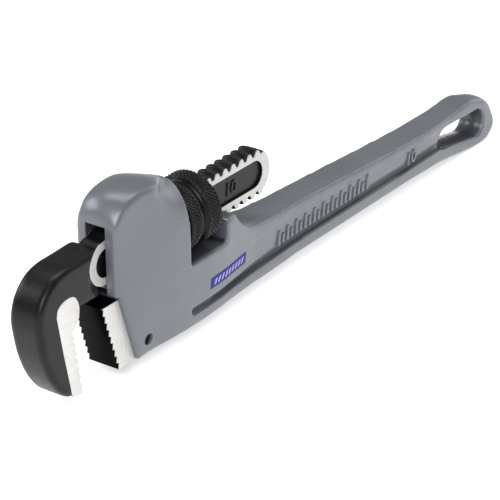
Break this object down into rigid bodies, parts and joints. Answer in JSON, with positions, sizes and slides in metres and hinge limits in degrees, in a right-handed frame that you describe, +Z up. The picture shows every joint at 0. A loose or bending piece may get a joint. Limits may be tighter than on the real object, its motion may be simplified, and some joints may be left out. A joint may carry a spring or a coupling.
{
  "type": "pipe wrench",
  "caption": "Adjustable pipe wrench: toothed hook jaw on a threaded shank, knurled nut, heel jaw, cast handle with a hang hole.",
  "frame": {"origin": "middle of the underside of the box round the whole wrench, standing on its lower edge", "axes": "+X along the handle from the jaws to the tail, +Y across the wrench, +Z up to the jaw shank's side"},
  "size_m": [0.2408, 0.022, 0.0562],
  "materials": {
    "cast_aluminium": "grey semi-gloss paint on a casting",
    "black_steel": "black oxide forging with bright ground flats",
    "nut_steel": "black oxide, knurled",
    "pin_steel": "dark",
    "spring_steel": "bright spring steel",
    "label": "printed film"
  },
  "bodies": {
    "housing": {"handle": "cast_aluminium", "heel_jaw": "black_steel", "heel_jaw_pin": "pin_steel", "coil_spring": "spring_steel", "label": "label"},
    "leaf": {"flat_spring": "spring_steel", "spring_rivet": "spring_steel"},
    "hook": {"hook_jaw": "black_steel"},
    "nut": {"adjusting_nut": "nut_steel"}
  },
  "joints": [
    {"name": "jaw_rock", "type": "hinge", "parent": "housing", "child": "leaf", "pos_m": [-0.05153, 0, 0.037], "axis": [0, 1, 0], "range_deg": [0, 1.5], "stiffness_Nm_per_rad": 3, "springref_deg": -1.72, "deforming": ["coil_spring"]},
    {"name": "jaw_slide", "type": "slide", "parent": "leaf", "child": "hook", "axis": [-1, 0, 0], "range_m": [-0.0036, 0.026]},
    {"name": "nut_spin", "type": "hinge", "parent": "leaf", "child": "nut", "pos_m": [-0.05153, 0, 0.037], "axis": [1, 0, 0], "range_deg": [-330, 2345]}
  ],
  "couplings": [
    {"joint": "nut_spin", "follows": "jaw_slide", "rad_per_m": 1570.8}
  ]
}
